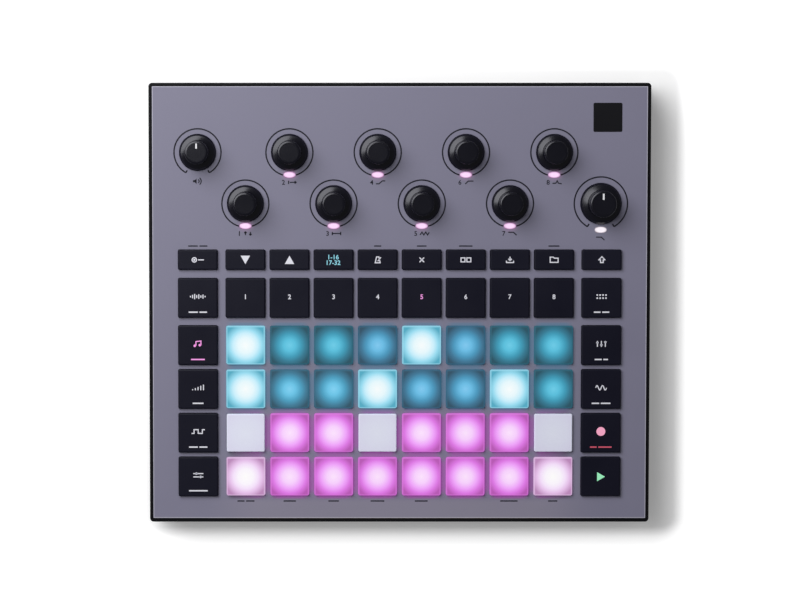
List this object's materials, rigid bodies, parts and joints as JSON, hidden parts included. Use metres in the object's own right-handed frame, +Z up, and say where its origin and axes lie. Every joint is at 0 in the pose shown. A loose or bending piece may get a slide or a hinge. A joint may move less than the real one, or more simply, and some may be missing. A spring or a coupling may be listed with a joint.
{
  "type": "groovebox",
  "caption": "Flat desktop groovebox: grey panel with lit pads, sprung black keys and turning knobs in a black case, with audio, MIDI and USB sockets along the rear.",
  "frame": {"origin": "middle of the footprint, at table height", "axes": "+X to the player's right, +Y to the rear sockets, +Z up"},
  "size_m": [0.2406, 0.2112, 0.045],
  "materials": {
    "panel_grey": "fine matte",
    "case_black": "fine texture",
    "key_black": "satin",
    "pad_white": "translucent satin",
    "knob_black": "satin",
    "pipe_clear": "clear",
    "board_green": "satin",
    "mat_grey": "matte",
    "rotary_steel": "satin",
    "socket_black": "gloss",
    "port_steel": "satin",
    "battery_foil": "wrapped foil",
    "foot_rubber": "matte",
    "screw_steel": "blackened",
    "button_black": "satin"
  },
  "bodies": {
    "case": {"top_cover": "panel_grey", "bottom_case": "case_black", "rear_panel": "case_black", "rubber_feet": "foot_rubber", "jack_sockets": "socket_black", "midi_sockets": "socket_black", "port_sockets": "port_steel", "circuit_boards": "board_green", "key_mat": "mat_grey", "light_pipes": "pipe_clear", "rotary_bodies": "rotary_steel", "battery_pack": "battery_foil", "screws": "screw_steel"},
    "volume_knob": {"volume_knob": "knob_black"},
    "filter_knob": {"filter_knob": "knob_black"},
    "encoder_knob_1": {"encoder_knob_1": "knob_black"},
    "encoder_knob_2": {"encoder_knob_2": "knob_black"},
    "encoder_knob_3": {"encoder_knob_3": "knob_black"},
    "encoder_knob_4": {"encoder_knob_4": "knob_black"},
    "encoder_knob_5": {"encoder_knob_5": "knob_black"},
    "encoder_knob_6": {"encoder_knob_6": "knob_black"},
    "encoder_knob_7": {"encoder_knob_7": "knob_black"},
    "encoder_knob_8": {"encoder_knob_8": "knob_black"},
    "power_button": {"power_button": "button_black"},
    "rec_sample_key": {"rec_sample_key": "key_black"},
    "down_key": {"down_key": "key_black"},
    "up_key": {"up_key": "key_black"},
    "page_key": {"page_key": "key_black"},
    "tempo_key": {"tempo_key": "key_black"},
    "clear_key": {"clear_key": "key_black"},
    "duplicate_key": {"duplicate_key": "key_black"},
    "save_key": {"save_key": "key_black"},
    "project_key": {"project_key": "key_black"},
    "shift_key": {"shift_key": "key_black"},
    "sample_key": {"sample_key": "key_black"},
    "track_1_key": {"track_1_key": "key_black"},
    "track_2_key": {"track_2_key": "key_black"},
    "track_3_key": {"track_3_key": "key_black"},
    "track_4_key": {"track_4_key": "key_black"},
    "track_5_key": {"track_5_key": "key_black"},
    "track_6_key": {"track_6_key": "key_black"},
    "track_7_key": {"track_7_key": "key_black"},
    "track_8_key": {"track_8_key": "key_black"},
    "pattern_key": {"pattern_key": "key_black"},
    "note_key": {"note_key": "key_black"},
    "mixer_key": {"mixer_key": "key_black"},
    "velocity_key": {"velocity_key": "key_black"},
    "effects_key": {"effects_key": "key_black"},
    "gate_key": {"gate_key": "key_black"},
    "record_key": {"record_key": "key_black"},
    "settings_key": {"settings_key": "key_black"},
    "play_key": {"play_key": "key_black"},
    "pad_column_1": {"pad_column_1": "pad_white"},
    "pad_column_2": {"pad_column_2": "pad_white"},
    "pad_column_3": {"pad_column_3": "pad_white"},
    "pad_column_4": {"pad_column_4": "pad_white"},
    "pad_column_5": {"pad_column_5": "pad_white"},
    "pad_column_6": {"pad_column_6": "pad_white"},
    "pad_column_7": {"pad_column_7": "pad_white"},
    "pad_column_8": {"pad_column_8": "pad_white"}
  },
  "joints": [
    {"name": "volume_turn", "type": "hinge", "parent": "case", "child": "volume_knob", "pos_m": [-0.09681, 0.07239, 0.031], "axis": [0, 0, 1], "range_deg": [-150, 150]},
    {"name": "filter_turn", "type": "hinge", "parent": "case", "child": "filter_knob", "pos_m": [0.09635, 0.04788, 0.031], "axis": [0, 0, 1], "range_deg": [-150, 150]},
    {"name": "encoder_1_turn", "type": "hinge", "parent": "case", "child": "encoder_knob_1", "pos_m": [-0.07396, 0.04788, 0.031], "axis": [0, 0, 1], "continuous": true},
    {"name": "encoder_2_turn", "type": "hinge", "parent": "case", "child": "encoder_knob_2", "pos_m": [-0.05282, 0.07239, 0.031], "axis": [0, 0, 1], "continuous": true},
    {"name": "encoder_3_turn", "type": "hinge", "parent": "case", "child": "encoder_knob_3", "pos_m": [-0.0317, 0.04788, 0.031], "axis": [0, 0, 1], "continuous": true},
    {"name": "encoder_4_turn", "type": "hinge", "parent": "case", "child": "encoder_knob_4", "pos_m": [-0.01056, 0.07239, 0.031], "axis": [0, 0, 1], "continuous": true},
    {"name": "encoder_5_turn", "type": "hinge", "parent": "case", "child": "encoder_knob_5", "pos_m": [0.01056, 0.04788, 0.031], "axis": [0, 0, 1], "continuous": true},
    {"name": "encoder_6_turn", "type": "hinge", "parent": "case", "child": "encoder_knob_6", "pos_m": [0.0317, 0.07239, 0.031], "axis": [0, 0, 1], "continuous": true},
    {"name": "encoder_7_turn", "type": "hinge", "parent": "case", "child": "encoder_knob_7", "pos_m": [0.05282, 0.04788, 0.031], "axis": [0, 0, 1], "continuous": true},
    {"name": "encoder_8_turn", "type": "hinge", "parent": "case", "child": "encoder_knob_8", "pos_m": [0.07396, 0.07239, 0.031], "axis": [0, 0, 1], "continuous": true},
    {"name": "power_press", "type": "slide", "parent": "case", "child": "power_button", "axis": [0, -1, 0], "range_m": [0, 0.0008], "stiffness_N_per_m": 600, "springref_m": -0.0005},
    {"name": "rec_sample_press", "type": "slide", "parent": "case", "child": "rec_sample_key", "axis": [0, 0, -1], "range_m": [0, 0.0012], "stiffness_N_per_m": 600, "springref_m": -0.0005},
    {"name": "down_press", "type": "slide", "parent": "case", "child": "down_key", "axis": [0, 0, -1], "range_m": [0, 0.0012], "stiffness_N_per_m": 600, "springref_m": -0.0005},
    {"name": "up_press", "type": "slide", "parent": "case", "child": "up_key", "axis": [0, 0, -1], "range_m": [0, 0.0012], "stiffness_N_per_m": 600, "springref_m": -0.0005},
    {"name": "page_press", "type": "slide", "parent": "case", "child": "page_key", "axis": [0, 0, -1], "range_m": [0, 0.0012], "stiffness_N_per_m": 600, "springref_m": -0.0005},
    {"name": "tempo_press", "type": "slide", "parent": "case", "child": "tempo_key", "axis": [0, 0, -1], "range_m": [0, 0.0012], "stiffness_N_per_m": 600, "springref_m": -0.0005},
    {"name": "clear_press", "type": "slide", "parent": "case", "child": "clear_key", "axis": [0, 0, -1], "range_m": [0, 0.0012], "stiffness_N_per_m": 600, "springref_m": -0.0005},
    {"name": "duplicate_press", "type": "slide", "parent": "case", "child": "duplicate_key", "axis": [0, 0, -1], "range_m": [0, 0.0012], "stiffness_N_per_m": 600, "springref_m": -0.0005},
    {"name": "save_press", "type": "slide", "parent": "case", "child": "save_key", "axis": [0, 0, -1], "range_m": [0, 0.0012], "stiffness_N_per_m": 600, "springref_m": -0.0005},
    {"name": "project_press", "type": "slide", "parent": "case", "child": "project_key", "axis": [0, 0, -1], "range_m": [0, 0.0012], "stiffness_N_per_m": 600, "springref_m": -0.0005},
    {"name": "shift_press", "type": "slide", "parent": "case", "child": "shift_key", "axis": [0, 0, -1], "range_m": [0, 0.0012], "stiffness_N_per_m": 600, "springref_m": -0.0005},
    {"name": "sample_press", "type": "slide", "parent": "case", "child": "sample_key", "axis": [0, 0, -1], "range_m": [0, 0.0012], "stiffness_N_per_m": 600, "springref_m": -0.0005},
    {"name": "track_1_press", "type": "slide", "parent": "case", "child": "track_1_key", "axis": [0, 0, -1], "range_m": [0, 0.0012], "stiffness_N_per_m": 600, "springref_m": -0.0005},
    {"name": "track_2_press", "type": "slide", "parent": "case", "child": "track_2_key", "axis": [0, 0, -1], "range_m": [0, 0.0012], "stiffness_N_per_m": 600, "springref_m": -0.0005},
    {"name": "track_3_press", "type": "slide", "parent": "case", "child": "track_3_key", "axis": [0, 0, -1], "range_m": [0, 0.0012], "stiffness_N_per_m": 600, "springref_m": -0.0005},
    {"name": "track_4_press", "type": "slide", "parent": "case", "child": "track_4_key", "axis": [0, 0, -1], "range_m": [0, 0.0012], "stiffness_N_per_m": 600, "springref_m": -0.0005},
    {"name": "track_5_press", "type": "slide", "parent": "case", "child": "track_5_key", "axis": [0, 0, -1], "range_m": [0, 0.0012], "stiffness_N_per_m": 600, "springref_m": -0.0005},
    {"name": "track_6_press", "type": "slide", "parent": "case", "child": "track_6_key", "axis": [0, 0, -1], "range_m": [0, 0.0012], "stiffness_N_per_m": 600, "springref_m": -0.0005},
    {"name": "track_7_press", "type": "slide", "parent": "case", "child": "track_7_key", "axis": [0, 0, -1], "range_m": [0, 0.0012], "stiffness_N_per_m": 600, "springref_m": -0.0005},
    {"name": "track_8_press", "type": "slide", "parent": "case", "child": "track_8_key", "axis": [0, 0, -1], "range_m": [0, 0.0012], "stiffness_N_per_m": 600, "springref_m": -0.0005},
    {"name": "pattern_press", "type": "slide", "parent": "case", "child": "pattern_key", "axis": [0, 0, -1], "range_m": [0, 0.0012], "stiffness_N_per_m": 600, "springref_m": -0.0005},
    {"name": "note_press", "type": "slide", "parent": "case", "child": "note_key", "axis": [0, 0, -1], "range_m": [0, 0.0012], "stiffness_N_per_m": 600, "springref_m": -0.0005},
    {"name": "mixer_press", "type": "slide", "parent": "case", "child": "mixer_key", "axis": [0, 0, -1], "range_m": [0, 0.0012], "stiffness_N_per_m": 600, "springref_m": -0.0005},
    {"name": "velocity_press", "type": "slide", "parent": "case", "child": "velocity_key", "axis": [0, 0, -1], "range_m": [0, 0.0012], "stiffness_N_per_m": 600, "springref_m": -0.0005},
    {"name": "effects_press", "type": "slide", "parent": "case", "child": "effects_key", "axis": [0, 0, -1], "range_m": [0, 0.0012], "stiffness_N_per_m": 600, "springref_m": -0.0005},
    {"name": "gate_press", "type": "slide", "parent": "case", "child": "gate_key", "axis": [0, 0, -1], "range_m": [0, 0.0012], "stiffness_N_per_m": 600, "springref_m": -0.0005},
    {"name": "record_press", "type": "slide", "parent": "case", "child": "record_key", "axis": [0, 0, -1], "range_m": [0, 0.0012], "stiffness_N_per_m": 600, "springref_m": -0.0005},
    {"name": "settings_press", "type": "slide", "parent": "case", "child": "settings_key", "axis": [0, 0, -1], "range_m": [0, 0.0012], "stiffness_N_per_m": 600, "springref_m": -0.0005},
    {"name": "play_press", "type": "slide", "parent": "case", "child": "play_key", "axis": [0, 0, -1], "range_m": [0, 0.0012], "stiffness_N_per_m": 600, "springref_m": -0.0005},
    {"name": "pad_column_1_press", "type": "slide", "parent": "case", "child": "pad_column_1", "axis": [0, 0, -1], "range_m": [0, 0.001], "stiffness_N_per_m": 800, "springref_m": -0.0005},
    {"name": "pad_column_2_press", "type": "slide", "parent": "case", "child": "pad_column_2", "axis": [0, 0, -1], "range_m": [0, 0.001], "stiffness_N_per_m": 800, "springref_m": -0.0005},
    {"name": "pad_column_3_press", "type": "slide", "parent": "case", "child": "pad_column_3", "axis": [0, 0, -1], "range_m": [0, 0.001], "stiffness_N_per_m": 800, "springref_m": -0.0005},
    {"name": "pad_column_4_press", "type": "slide", "parent": "case", "child": "pad_column_4", "axis": [0, 0, -1], "range_m": [0, 0.001], "stiffness_N_per_m": 800, "springref_m": -0.0005},
    {"name": "pad_column_5_press", "type": "slide", "parent": "case", "child": "pad_column_5", "axis": [0, 0, -1], "range_m": [0, 0.001], "stiffness_N_per_m": 800, "springref_m": -0.0005},
    {"name": "pad_column_6_press", "type": "slide", "parent": "case", "child": "pad_column_6", "axis": [0, 0, -1], "range_m": [0, 0.001], "stiffness_N_per_m": 800, "springref_m": -0.0005},
    {"name": "pad_column_7_press", "type": "slide", "parent": "case", "child": "pad_column_7", "axis": [0, 0, -1], "range_m": [0, 0.001], "stiffness_N_per_m": 800, "springref_m": -0.0005},
    {"name": "pad_column_8_press", "type": "slide", "parent": "case", "child": "pad_column_8", "axis": [0, 0, -1], "range_m": [0, 0.001], "stiffness_N_per_m": 800, "springref_m": -0.0005}
  ]
}
